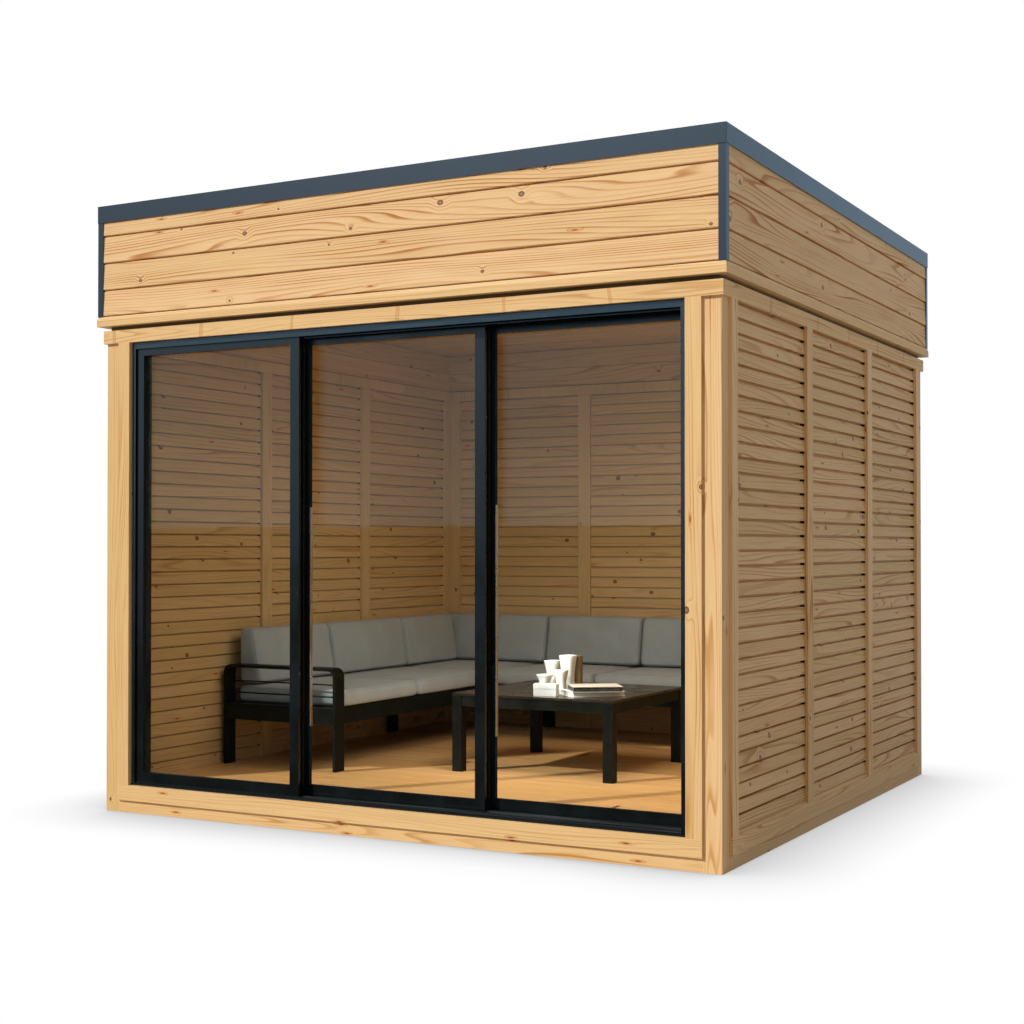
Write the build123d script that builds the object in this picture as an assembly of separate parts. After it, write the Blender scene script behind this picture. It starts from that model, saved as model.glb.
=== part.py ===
from build123d import *
import os

# Garden office pod, timber framed, with a flat roof behind a boarded parapet and a
# three-leaf sliding glass front.
# Millimetres, +Z up. The glazed front faces -Y. The origin is on the ground, at the centre
# of the footprint of the four corner posts.

# ---- overall sizes ----
width = 3200                # across the outer faces of the posts, along X
depth = 3120                # over the outer faces of the posts, along Y
height = 2955               # ground to the top of the capping

# ---- timber frame ----
post = 80                   # square corner post
base_height = 58            # base beams, flush with the posts
rail_height = 75            # bottom rail of the panel frames
beam_height = 63            # head beam over posts and panels
packer_height = 20          # recessed strip that makes the shadow gap
packer_inset = 12           # its face behind the face of the posts
ledger_height = 47
ledger_slope = 17           # drop of the ledger's weathered top edge
ledger_depth = 60
joint_gap = 1               # between butted members

# ---- wall panels ----
proud = 14                  # panel frames stand this far out of the boards
frame_depth = 45            # front to back of a stile or rail
end_stile = 67
mid_stile = 82
door_stile = 70             # timber stile on each side of the door
side_wall = 160             # post face to lining face, left and right walls
back_wall = 105

# ---- floor ----
floor_level = 155
deck_thickness = 25
joist_width = 45
joist_count = 6

# ---- roof ----
parapet_overhang = 32       # boards of the roof box outside the posts
parapet_wall = 60
cap_height = 82
cap_overhang = 36
cap_width = 110
cap_sheet = 2
cap_inner_drop = 40
ledger_overhang = 38
lining_setback = 15         # roof box lining behind the face of the wall lining
upper_lining = 20
shadow_gap = 4              # between the wall lining and the roof box lining
lining_top = 2296
lining_rail = 60            # top rail of the lining frames
lining_lap = 53             # left lining over the rear of the door frame, which stops short there
ceiling_level = 2530
ceiling_thickness = 20
roof_joist_height = 220
roof_joist_count = 6
roof_deck = 90
membrane = 3
trim_leg = 33
trim_sheet = 2
trim_lap = 6                # corner trim over the ledger's slope

# ---- door ----
frame_setback = 4           # door frame behind the face of the posts
frame_lip = 5               # thickness of the frame's front and back lips
jamb_face = 25              # timber opening to the jamb's lip edge
jamb_web = 12
joint_side = 8              # shadow joint round the front of the door frame
joint_top = 4
joint_deep = 15
head_face = 33
head_web = 14
sill_base = 8
sill_lip = 15
leaf_clearance = 5          # front lip to leaf
leaf_thickness = 48
leaf_gap = 10               # between leaves on neighbouring tracks
leaf_face = 50              # width of a leaf's stiles and bottom bar
leaf_head = 36              # width of its top bar
leaf_overlap = 32           # of two neighbouring leaves
tuck_side = 7               # of the outer leaves behind the lips of the jambs
tuck_top = 2                # of every leaf behind the lip of the head
fin = 5                     # draught fin on the back of a meeting stile
fin_width = 6
fin_inset = 8
track_width = 6
track_height = 11
track_engage = 9            # of a head track in the groove of its leaf
groove_width = 18
groove_depth = 17
glass_setback = 21          # glass behind the face of a leaf
glass_thickness = 20
rebate_wall = 22            # outer part of a bar, beside its glazing rebate
glass_edge = 2              # free edge between the glass and the rebate's wall
bead_width = 6
mitre_gap = 0.3
roller_radius = 6
roller_width = 9
roller_axle = 2.5
roller_lift = 0.5           # play between a roller and its track
roller_inset = 120          # roller from the end of its leaf
pull_low = 465              # finger pull on the two rear leaves
pull_high = 1470
pull_lip = 3
pull_base = 1
pull_wall = 4

# ---- sofa ----
sofa_depth = 708
sofa_back = 8               # sofa off the wall
aisle = 499                 # door frame to the arm of the left wing
right_gap = 750             # end of the right wing to the lining
seat_rail_top = 473
seat_rail = 83
flat_bar = 16
bar_width = 80
arm_top = 675
arm_radius = 45
rod_radius = 4
rod_levels = (527, 588)
deck_plate = 4
deck_gap = 0.5              # felt between the rails and the deck
back_leg_width = 100
cushion_gap = 2
cushion_setback = 24        # cushions inside the outer edge of the frame
seat_cushion = 96
back_cushion = 163
back_cushion_top = 864
first_seat = 727            # lengths of cushions from the left arm and from the corner
first_back = 701
second_back = 762
turned_seat = 651
turned_back = 640
corner_back_lap = 64        # corner back cushion past the front of the left wing

# ---- table ----
table_side = 890
table_leg = 52
table_height = 395
table_apron = 52
apron_inset = 4
apron_bar = 20
table_top = 12
table_gap_x = 488           # sofa front to table
table_gap_y = 395
table_joint = 0.5

# ---- on the table, placed from its front left corner ----
foot_flare = 6              # foot of a stand wider than its waist
waist_share = 0.35
stand_sizes = (             # x, y, waist, top, height
    (344, 351, 42, 74, 82),
    (436, 356, 42, 66, 108),
    (331, 466, 46, 76, 146),
    (420, 466, 56, 78, 176),
)
oak_block = (36, 36, 170)
oak_block_place = (444, 536)
carton_size = (118, 58, 60)
carton_corner = (437, 46)
carton_turn = 12
book_corner = (648, 64)
book_gap = 0.3
book_sizes = (              # long side, short side, thickness, turn in degrees
    (276, 205, 24, 46),
    (250, 190, 27, 35),
)

HALF_W = width / 2
HALF_D = depth / 2
FOUR_SIDES = (              # turn from the front, half length, distance from the centre
    (0, HALF_W, HALF_D),
    (90, HALF_D, HALF_W),
    (180, HALF_W, HALF_D),
    (270, HALF_D, HALF_W),
)
opening_half = HALF_W - post - door_stile
rail_top = base_height + rail_height
cap_bottom = height - cap_height
ledger_bottom = 2364
beam_bottom = ledger_bottom - packer_height - beam_height
beam_top = beam_bottom + beam_height
ledger_top = ledger_bottom + ledger_height
frame_depth_door = (frame_lip + leaf_clearance) * 2 + leaf_thickness * 3 + leaf_gap * 2
frame_back = frame_setback + frame_depth_door
inner_x = HALF_W - side_wall
inner_back = HALF_D - back_wall
inner_front = -HALF_D + frame_back
panel_back = proud - frame_depth
beam_back = frame_depth - back_wall      # head beams cover the core of the back wall


def block(x, y, z):
    """A box given by its (low, high) ranges along X, Y and Z."""
    ranges = (x, y, z)
    centre = [(low + high) / 2 for low, high in ranges]
    size = [high - low for low, high in ranges]
    return Pos(*centre) * Box(*size)


def on_side(side, along, out, z):
    """A box on one side of the building: its range along the wall, and its range outwards
    from the outer face of the posts."""
    low, high = out
    if side == "right":
        return block((HALF_W + low, HALF_W + high), along, z)
    if side == "left":
        return block((-HALF_W - high, -HALF_W - low), along, z)
    if side == "back":
        return block(along, (HALF_D + low, HALF_D + high), z)
    return block(along, (-HALF_D - high, -HALF_D - low), z)


def ring(out, z):
    """Four butted members round the building, the front and back ones running through."""
    low, high = out
    long_half = HALF_W + high
    short_half = HALF_D + low - joint_gap
    return [
        on_side("front", (-long_half, long_half), out, z),
        on_side("back", (-long_half, long_half), out, z),
        on_side("left", (-short_half, short_half), out, z),
        on_side("right", (-short_half, short_half), out, z),
    ]


def save(node, *solids):
    """Write one node, as one solid or several that don't touch."""
    shape = solids[0] if len(solids) == 1 else Compound(children=list(solids))
    export_step(shape, f"parts/{node}.step")


def stile_spans(start, end, end_width):
    """End stiles and two middle stiles that divide a wall into three equal bays."""
    bay = (end - start - 2 * end_width - 2 * mid_stile) / 3
    first = start + end_width + bay
    second = first + mid_stile + bay
    return [
        (start, start + end_width),
        (first, first + mid_stile),
        (second, second + mid_stile),
        (end - end_width, end),
    ]


def bays_between(spans):
    """The spaces between neighbouring stiles."""
    return [(left[1], right[0]) for left, right in zip(spans, spans[1:])]


def joist_row(count, first, pitch, half_length, z):
    """Equal joists along X, their centre lines a pitch apart along Y."""
    joists = []
    for index in range(count):
        y = first + index * pitch
        joists.append(block((-half_length, half_length), (y - joist_width / 2, y + joist_width / 2), z))
    return joists


# ---- base and floor ----
def build_base():
    half_x = HALF_W - post
    half_y = HALF_D - post
    z = (0, base_height)
    out = (-post, 0)
    save(
        "base_beams",
        on_side("front", (-half_x, half_x), out, z),
        on_side("back", (-half_x, half_x), out, z),
        on_side("left", (-half_y, half_y), out, z),
        on_side("right", (-half_y, half_y), out, z),
    )
    posts = []
    for sx in (-1, 1):
        for sy in (-1, 1):
            centre = Pos(sx * (HALF_W - post / 2), sy * (HALF_D - post / 2), beam_bottom / 2)
            posts.append(centre * Box(post, post, beam_bottom))
    save("corner_posts", *posts)


def build_floor():
    deck_bottom = floor_level - deck_thickness
    half_x = inner_x + frame_depth
    back = inner_back + frame_depth
    save("floor_deck", block((-half_x, half_x), (inner_front, back), (deck_bottom, floor_level)))
    first = inner_front + joist_width
    last = HALF_D - post - joist_width
    pitch = (last - first) / (joist_count - 1)
    save("floor_joists", *joist_row(joist_count, first, pitch, half_x, (0, deck_bottom)))


# ---- walls ----
def build_panels():
    """Outer panel frames, their board infill and the core behind them."""
    half = {"left": HALF_D - post, "right": HALF_D - post, "back": HALF_W - post}
    thickness = {"left": side_wall, "right": side_wall, "back": back_wall}
    z = (rail_top, beam_bottom)
    rails = []
    cores = []
    for side in ("left", "right", "back"):
        end = half[side]
        spans = stile_spans(-end, end, end_stile)
        stiles = [on_side(side, span, (panel_back, proud), z) for span in spans]
        boards = [on_side(side, span, (panel_back, 0), z) for span in bays_between(spans)]
        save(f"{side}_wall_stiles", *stiles)
        save(f"{side}_wall_boards", *boards)
        rails.append(on_side(side, (-end, end), (panel_back, proud), (base_height, rail_top)))
        core_out = (-thickness[side] + frame_depth, panel_back)
        cores.append(on_side(side, (-end, end), core_out, (base_height, beam_bottom)))
    front_half = HALF_W - post
    rails.append(on_side("front", (-front_half, front_half), (panel_back, proud), (base_height, rail_top)))
    save("bottom_rails", *rails)
    save("wall_cores", *cores)


def build_lining():
    """The same framed boards on the room side of the walls."""
    z_stile = (floor_level, lining_top - lining_rail - joint_gap)
    z_rail = (lining_top - lining_rail, lining_top)
    z_board = (floor_level, lining_top - lining_rail)
    stiles = []
    boards = []
    rails = []
    side_back = inner_back + frame_depth
    side_spans = stile_spans(-HALF_D + post, inner_back, end_stile)
    side_spans[3] = (side_spans[3][0], side_back)
    for side, front in (("left", inner_front - lining_lap), ("right", inner_front)):
        full = (-side_wall, -side_wall + frame_depth)
        recessed = (-side_wall + proud, -side_wall + frame_depth)
        bays = bays_between([(front, front)] + side_spans[1:])
        stiles += [on_side(side, span, full, z_stile) for span in side_spans[1:]]
        boards += [on_side(side, bay, recessed, z_board) for bay in bays]
        rails.append(on_side(side, (inner_front, side_back), full, z_rail))
    back_spans = stile_spans(-inner_x + joint_gap, inner_x - joint_gap, end_stile)
    full = (-back_wall, -back_wall + frame_depth)
    recessed = (-back_wall + proud, -back_wall + frame_depth)
    stiles += [on_side("back", span, full, z_stile) for span in back_spans]
    boards += [on_side("back", span, recessed, z_board) for span in bays_between(back_spans)]
    rails.append(on_side("back", (-inner_x + joint_gap, inner_x - joint_gap), full, z_rail))
    save("lining_frames", *stiles, *rails)
    save("lining_boards", *boards)


def build_door_surround():
    """Timber stiles beside the door and the lining of its opening."""
    stiles = []
    for sx in (-1, 1):
        along = sorted((sx * opening_half, sx * (opening_half + door_stile)))
        stiles.append(on_side("front", along, (panel_back, proud), (rail_top, beam_bottom)))
    save("door_stiles", *stiles)
    core_face = inner_x + frame_depth
    out = (-frame_back, panel_back)
    z = (rail_top, beam_bottom - joint_gap)
    cheeks = [
        on_side("front", (-core_face, -opening_half), (-frame_back + lining_lap, panel_back), z),
        on_side("front", (opening_half, core_face), out, z),
    ]
    threshold = on_side("front", (-core_face, core_face), out, (base_height, rail_top - joint_gap))
    head = on_side("front", (-core_face, core_face), (-frame_back, beam_back), (beam_bottom, lining_top))
    save("door_lining", threshold, head, *cheeks)


# ---- head and roof ----
def build_head():
    save("head_beams", *ring((beam_back, proud), (beam_bottom, beam_top)))
    save("roof_packers", *ring((beam_back, -packer_inset), (beam_top, ledger_bottom)))


def sloped_strip(length, out_low, out_high, z_low, z_high, slope_out, slope_drop):
    """A strip along X, its outer top edge weathered. Its outer side faces -Y."""
    points = [
        (-out_high, z_low),
        (-out_low, z_low),
        (-out_low, z_high),
        (-out_high + slope_out, z_high),
        (-out_high, z_high - slope_drop),
    ]
    section = make_face(Plane.YZ * Polyline(*points, close=True))
    return Pos(-length / 2, 0, 0) * extrude(section, length)


def corner_wedge(along_half, out_half, reach, z_low, z_high):
    """The wedge of plan that one mitred side keeps, for a side that faces -Y."""
    inner = out_half - reach
    skew = along_half - out_half
    points = [
        (-along_half + joint_gap, -out_half),
        (along_half - joint_gap, -out_half),
        (skew + inner - joint_gap, -inner),
        (-skew - inner + joint_gap, -inner),
    ]
    return Pos(0, 0, z_low) * extrude(make_face(Polyline(*points, close=True)), z_high - z_low)


def build_ledgers():
    ledgers = []
    for turn, along, out in FOUR_SIDES:
        along_half = along + ledger_overhang
        out_half = out + ledger_overhang
        strip = sloped_strip(
            2 * along_half, out_half - ledger_depth, out_half, ledger_bottom, ledger_top,
            ledger_overhang - parapet_overhang, ledger_slope,
        )
        wedge = corner_wedge(along_half, out_half, ledger_depth, ledger_bottom, ledger_top)
        ledgers.append(Rot(0, 0, turn) * (strip & wedge))
    save("ledgers", *ledgers)


def build_parapet():
    out = (parapet_overhang - parapet_wall, parapet_overhang)
    wall_top = height - cap_sheet
    save("parapet_walls", *ring(out, (ledger_top, wall_top)))
    trims = []
    trim_bottom = ledger_top - trim_lap
    z = (ledger_top, cap_bottom)
    for turn, along, side_out in FOUR_SIDES:
        x = along + parapet_overhang
        y = -side_out - parapet_overhang
        edge_x = x + trim_sheet
        edge_y = y - trim_sheet
        outer = block((edge_x - trim_leg, edge_x), (edge_y, edge_y + trim_leg), z)
        inner = block((x - trim_leg, x), (y, y + trim_leg), z)
        trims.append(Rot(0, 0, turn) * (outer - inner))
    save("corner_trims", *trims)


def build_cappings():
    caps = []
    for turn, along, out in FOUR_SIDES:
        along_half = along + cap_overhang
        out_half = out + cap_overhang
        outer = block((-along_half, along_half), (-out_half, -out_half + cap_width), (cap_bottom, height))
        under = block(
            (-along_half, along_half),
            (-out_half + cap_sheet, -out_half + cap_width - cap_sheet),
            (cap_bottom, height - cap_sheet),
        )
        inner_cut = block(
            (-along_half, along_half),
            (-out_half + cap_width - cap_sheet, -out_half + cap_width),
            (cap_bottom, height - cap_inner_drop),
        )
        wedge = corner_wedge(along_half, out_half, cap_width, cap_bottom, height)
        caps.append(Rot(0, 0, turn) * ((outer - under - inner_cut) & wedge))
    save("cappings", *caps)


def build_roof():
    low = lining_top + shadow_gap
    side_x = inner_x + lining_setback
    back_y = inner_back + lining_setback
    front_y = -inner_front + lining_setback
    t = upper_lining
    z = (low, ceiling_level)
    save(
        "roof_box_lining",
        block((-side_x - t, -side_x), (-front_y, back_y), z),
        block((side_x, side_x + t), (-front_y, back_y), z),
        block((-side_x - t, side_x + t), (back_y + joint_gap, back_y + joint_gap + t), z),
        block((-side_x - t, side_x + t), (-front_y - joint_gap - t, -front_y - joint_gap), z),
    )
    in_x = HALF_W + parapet_overhang - parapet_wall
    in_y = HALF_D + parapet_overhang - parapet_wall
    ceiling_top = ceiling_level + ceiling_thickness
    save("ceiling", block((-in_x, in_x), (-in_y, in_y), (ceiling_level, ceiling_top)))
    joist_top = ceiling_top + roof_joist_height
    pitch = (2 * in_y - joist_width) / (roof_joist_count - 1)
    first = -in_y + joist_width / 2
    save("roof_joists", *joist_row(roof_joist_count, first, pitch, in_x, (ceiling_top, joist_top)))
    save("roof_deck", block((-in_x, in_x), (-in_y, in_y), (joist_top, joist_top + roof_deck)))
    top = joist_top + roof_deck
    save("roof_membrane", block((-in_x, in_x), (-in_y, in_y), (top, top + membrane)))


# ---- sliding door ----
def tracks(z):
    """The guide ridges of the three tracks, over the clear width of the frame."""
    ridges = []
    half = opening_half - jamb_face
    for index in range(3):
        centre = leaf_front(index) + leaf_thickness / 2
        ridges.append(block((-half, half), (centre - track_width / 2, centre + track_width / 2), z))
    return ridges


def leaf_front(index):
    """Y of the front face of the leaf on track 0, 1 or 2."""
    first = -HALF_D + frame_setback + frame_lip + leaf_clearance
    return first + index * (leaf_thickness + leaf_gap)


def build_door_frame():
    front = -HALF_D + frame_setback
    back = -HALF_D + frame_back
    clear = opening_half - jamb_face
    full = (-opening_half, opening_half)
    inside = (-clear, clear)
    joint = (front, front + joint_deep)
    sill = block(full, (front, back), (rail_top, rail_top + sill_base))
    for lip in ((front, front + frame_lip), (back - frame_lip, back)):
        sill += block(inside, lip, (rail_top, rail_top + sill_lip))
    for ridge in tracks((rail_top, rail_top + sill_base + track_height)):
        sill += ridge
    save("door_sill", sill)
    web_bottom = beam_bottom - head_web
    head = block(full, (front, back), (web_bottom, beam_bottom))
    for lip in ((front, front + frame_lip), (back - frame_lip, back)):
        head += block(inside, lip, (beam_bottom - head_face, beam_bottom))
    leaf_top = beam_bottom - head_face + tuck_top
    for ridge in tracks((leaf_top - track_engage, beam_bottom)):
        head += ridge
    head -= block(full, joint, (beam_bottom - joint_top, beam_bottom))
    for sx in (-1, 1):
        head -= block(sorted((sx * (opening_half - joint_side), sx * opening_half)), joint,
                      (web_bottom, beam_bottom))
    save("door_head", head)
    jambs = []
    z = (rail_top + sill_base, web_bottom)
    for sx, web_back in ((-1, back - lining_lap), (1, back)):
        web = block(sorted((sx * (opening_half - jamb_web), sx * opening_half)), (front, web_back), z)
        lip_x = sorted((sx * clear, sx * opening_half))
        web += block(lip_x, (front, front + frame_lip), z)
        web -= block(sorted((sx * (opening_half - joint_side), sx * opening_half)), joint, z)
        jambs.append(web)
    save("door_jambs", *jambs)


def leaf_bar(length, face, start_face, end_face):
    """One bar of a leaf, along +X from the origin, its outer edge at z = 0, mitred to the bars
    at its two ends. It is grooved for its track and rebated at the back for the glass, which a
    bead holds."""
    bar = Box(length, leaf_thickness, face, align=(Align.MIN, Align.MIN, Align.MIN))
    middle = leaf_thickness / 2
    bar -= block((0, length), (middle - groove_width / 2, middle + groove_width / 2), (0, groove_depth))
    bar -= block((0, length), (glass_setback, leaf_thickness), (rebate_wall, face))
    bead_y = (glass_setback + glass_thickness, leaf_thickness)
    bar += block((0, length), bead_y, (rebate_wall, rebate_wall + bead_width))
    points = [
        (mitre_gap, 0),
        (length - mitre_gap, 0),
        (length - mitre_gap - end_face, face),
        (mitre_gap + start_face, face),
    ]
    outline = make_face(Plane.XZ * Polyline(*points, close=True))
    keep = Pos(0, leaf_thickness, 0) * extrude(outline, leaf_thickness)
    return bar & keep


def bottom_bar(length):
    """A bar with a roller near each end, on an axle across its track groove."""
    bar = leaf_bar(length, leaf_face, leaf_face, leaf_face)
    centre_z = sill_base + track_height + roller_lift + roller_radius - sill_lip
    turn = Rot(90, 0, 0)
    for x in (roller_inset, length - roller_inset):
        place = Pos(x, leaf_thickness / 2, centre_z) * turn
        bar += place * Cylinder(roller_radius, roller_width)
        bar += place * Cylinder(roller_axle, groove_width + 2)
    return bar


def finger_pull(low, high):
    """A U channel against the inner edge of a leaf's left stile, open towards the glass."""
    edge = leaf_face
    pull = block((edge, edge + pull_base), (0, glass_setback), (low, high))
    for y in ((0, pull_wall), (glass_setback - pull_wall, glass_setback)):
        pull += block((edge, edge + pull_lip), y, (low, high))
    return pull


def build_leaves():
    bottom = rail_top + sill_lip
    top = beam_bottom - head_face + tuck_top
    total = 2 * (opening_half - jamb_face + tuck_side)
    leaf_width = (total + 2 * leaf_overlap) / 3
    leaf_height = top - bottom
    inset = rebate_wall + glass_edge
    fin_x = (leaf_width - fin_inset - fin_width, leaf_width - fin_inset)
    for index, name in enumerate(("left", "middle", "right")):
        x = -total / 2 + index * (leaf_width - leaf_overlap)
        y = leaf_front(index)
        place = Pos(x, y, bottom)
        left_bar = leaf_bar(leaf_height, leaf_face, leaf_head, leaf_face)
        right_bar = leaf_bar(leaf_height, leaf_face, leaf_face, leaf_head)
        top_bar = leaf_bar(leaf_width, leaf_head, leaf_face, leaf_face)
        left_stile = Pos(0, 0, leaf_height) * Rot(0, 90, 0) * left_bar
        right_stile = Pos(leaf_width, 0, 0) * Rot(0, -90, 0) * right_bar
        if name != "left":
            left_stile += finger_pull(pull_low - bottom, pull_high - bottom)
        if name != "right":
            fin_y = (leaf_thickness, leaf_thickness + fin)
            right_stile += block(fin_x, fin_y, (leaf_face, leaf_height - leaf_face))
        bars = [
            bottom_bar(leaf_width),
            Pos(leaf_width, 0, leaf_height) * Rot(0, 180, 0) * top_bar,
            left_stile,
            right_stile,
        ]
        save(f"{name}_leaf_frame", *[place * bar for bar in bars])
        pane = block(
            (inset, leaf_width - inset),
            (glass_setback, glass_setback + glass_thickness),
            (inset, leaf_height - inset),
        )
        save(f"{name}_leaf_glass", place * pane)


# ---- furniture ----
def arm_loop(span):
    """A flat bar bent to an inverted U in the XZ plane, with two rods across it."""
    rise = arm_top - floor_level
    bend = arm_radius
    outer = Rectangle(span, rise, align=(Align.MIN, Align.MIN))
    outer = fillet(outer.vertices().group_by(Axis.Y)[-1], bend)
    inner = Rectangle(span - 2 * flat_bar, rise - flat_bar, align=(Align.MIN, Align.MIN))
    inner = fillet(inner.vertices().group_by(Axis.Y)[-1], bend - flat_bar)
    hoop = outer - Pos(flat_bar, 0) * inner
    loop = Pos(0, bar_width, floor_level) * extrude(Plane.XZ * hoop, bar_width)
    for level in rod_levels:
        rod = Pos(0, bar_width / 2, level) * Rot(0, 90, 0) * Cylinder(
            rod_radius, span - 2 * flat_bar + 2, align=(Align.CENTER, Align.CENTER, Align.MIN))
        loop += Pos(flat_bar - 1, 0, 0) * rod
    return loop


def module_rails(x, y):
    """Four flat bars on edge round one sofa module."""
    z = (seat_rail_top - seat_rail, seat_rail_top - deck_plate - deck_gap)
    b = flat_bar
    return [
        block(x, (y[0], y[0] + b), z),
        block(x, (y[1] - b, y[1]), z),
        block((x[0], x[0] + b), (y[0] + b + joint_gap, y[1] - b - joint_gap), z),
        block((x[1] - b, x[1]), (y[0] + b + joint_gap, y[1] - b - joint_gap), z),
    ]


def build_sofa():
    left = -inner_x + sofa_back
    front_x = left + sofa_depth
    back = inner_back - sofa_back
    front_y = back - sofa_depth
    wing_y = inner_front + aisle
    wing_x = inner_x - right_gap
    clear = joint_gap
    arm_room = flat_bar + clear
    modules = [
        ((left + arm_room, front_x - arm_room), (wing_y, front_y - clear)),
        ((left, front_x), (front_y, back)),
        ((front_x + clear, wing_x), (front_y + arm_room, back - arm_room)),
    ]
    rails = []
    decks = []
    for x, y in modules:
        rails += module_rails(x, y)
        decks.append(block(x, y, (seat_rail_top - deck_plate, seat_rail_top)))
    save("sofa_bases", *rails, *decks)
    left_arm = Pos(left, wing_y, 0) * arm_loop(sofa_depth)
    right_arm = Pos(wing_x, front_y, 0) * Rot(0, 0, 90) * arm_loop(sofa_depth)
    save("sofa_arms", left_arm, right_arm)
    leg_z = (floor_level, seat_rail_top - seat_rail)
    half = back_leg_width / 2
    legs = [
        block((left, left + flat_bar), (front_y - half, front_y + half), leg_z),
        block((front_x - half, front_x + half), (back - flat_bar, back), leg_z),
        block((front_x - bar_width, front_x), (front_y, front_y + flat_bar), leg_z),
    ]
    save("sofa_legs", *legs)
    gap = cushion_gap
    seat_top = seat_rail_top + seat_cushion
    seat_z = (seat_rail_top, seat_top)
    back_z = (seat_top, back_cushion_top)
    pad_x = left + cushion_setback
    pad_y = back - cushion_setback
    start = wing_y + bar_width
    end = wing_x - bar_width
    seat_y = start + first_seat
    seat_x = front_x + turned_seat
    seat_wide = (front_y, pad_y)
    save(
        "seat_cushions",
        block((pad_x, front_x), (start, seat_y - gap), seat_z),
        block((pad_x, front_x), (seat_y, front_y - gap), seat_z),
        block((pad_x, front_x), seat_wide, seat_z),
        block((front_x + gap, seat_x - gap), seat_wide, seat_z),
        block((seat_x, end), seat_wide, seat_z),
    )
    face_x = pad_x + back_cushion
    face_y = pad_y - back_cushion
    second_y = start + first_back
    third_y = second_y + second_back
    corner_x = front_x + corner_back_lap
    last_x = corner_x + turned_back
    save(
        "back_cushions",
        block((pad_x, face_x), (start, second_y - gap), back_z),
        block((pad_x, face_x), (second_y, third_y - gap), back_z),
        block((pad_x, face_x), (third_y, face_y - gap), back_z),
        block((pad_x, corner_x - gap), (face_y, pad_y), back_z),
        block((corner_x, last_x - gap), (face_y, pad_y), back_z),
        block((last_x, end), (face_y, pad_y), back_z),
    )


def table_corner():
    """X and Y of the table's front left corner."""
    front_x = -inner_x + sofa_back + sofa_depth
    front_y = inner_back - sofa_back - sofa_depth
    return front_x + table_gap_x, front_y - table_gap_y - table_side


def build_table():
    top = floor_level + table_height
    under = top - table_top
    leg = table_leg
    x0, y0 = table_corner()
    x1, y1 = x0 + table_side, y0 + table_side
    legs = []
    for x in (x0, x1 - leg):
        for y in (y0, y1 - leg):
            legs.append(block((x, x + leg), (y, y + leg), (floor_level, under)))
    z = (under - table_apron, under)
    span_x = (x0 + leg + table_joint, x1 - leg - table_joint)
    span_y = (y0 + leg + table_joint, y1 - leg - table_joint)
    near = (apron_inset, apron_inset + apron_bar)
    save(
        "table_frame",
        *legs,
        block(span_x, (y0 + near[0], y0 + near[1]), z),
        block(span_x, (y1 - near[1], y1 - near[0]), z),
        block((x0 + near[0], x0 + near[1]), span_y, z),
        block((x1 - near[1], x1 - near[0]), span_y, z),
    )
    save("table_top", block((x0, x1), (y0, y1), (under, top)))


def flared_stand(x, y, waist, flare, tall):
    """A square ceramic stand, waisted low down and flared to its top."""
    sections = []
    for share, side in ((0, waist + foot_flare), (waist_share, waist), (1, flare)):
        sections.append(Pos(x, y, share * tall) * Rectangle(side, side))
    return loft(sections)


def build_table_things():
    """What stands on the table: four white stands, an oak block, a white carton and two books."""
    place = Pos(*table_corner(), floor_level + table_height)
    stands = [place * flared_stand(*stand) for stand in stand_sizes]
    oak = Pos(*oak_block_place, 0) * Box(*oak_block, align=(Align.CENTER, Align.CENTER, Align.MIN))
    save("table_ornaments", *stands, place * oak)
    corner = (Align.MIN, Align.MIN, Align.MIN)
    carton = Pos(*carton_corner, 0) * Rot(0, 0, carton_turn) * Box(*carton_size, align=corner)
    level = 0
    books = []
    for long, short, thick, turn in book_sizes:
        slab = Box(long, short, thick, align=corner)
        books.append(Pos(*book_corner, level) * Rot(0, 0, turn) * slab)
        level += thick + book_gap
    save("books", place * carton, *[place * book for book in books])


os.makedirs("parts", exist_ok=True)
build_base()
build_floor()
build_panels()
build_lining()
build_door_surround()
build_head()
build_ledgers()
build_parapet()
build_cappings()
build_roof()
build_door_frame()
build_leaves()
build_sofa()
build_table()
build_table_things()
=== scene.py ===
"""Garden office pod: materials, boards, glazing, cushions and small things around the CAD frame.

Lengths are in metres. Z is up and the glazed front faces -Y.
"""

import math
import random

import bmesh
import bpy
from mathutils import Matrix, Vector


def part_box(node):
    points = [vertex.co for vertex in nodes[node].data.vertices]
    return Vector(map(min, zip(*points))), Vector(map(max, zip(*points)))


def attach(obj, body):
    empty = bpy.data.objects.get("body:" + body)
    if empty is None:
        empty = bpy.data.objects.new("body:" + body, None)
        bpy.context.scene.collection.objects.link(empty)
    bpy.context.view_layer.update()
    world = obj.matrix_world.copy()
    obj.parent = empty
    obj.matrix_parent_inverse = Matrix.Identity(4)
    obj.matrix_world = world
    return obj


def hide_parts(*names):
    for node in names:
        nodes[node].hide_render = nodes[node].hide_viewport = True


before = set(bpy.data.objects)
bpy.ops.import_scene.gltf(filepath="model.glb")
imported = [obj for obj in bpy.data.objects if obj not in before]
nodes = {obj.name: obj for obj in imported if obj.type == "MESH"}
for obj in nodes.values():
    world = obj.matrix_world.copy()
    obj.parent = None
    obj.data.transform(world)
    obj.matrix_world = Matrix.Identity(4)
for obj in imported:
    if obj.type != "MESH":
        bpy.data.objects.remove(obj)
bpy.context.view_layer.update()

# ---- places that the CAD model gives ----
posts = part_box("corner_posts")
HALF_W = posts[1].x
HALF_D = posts[1].y
parapet_low, parapet_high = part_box("parapet_walls")
cap_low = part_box("cappings")[0]
lining_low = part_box("lining_frames")[0]

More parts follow.
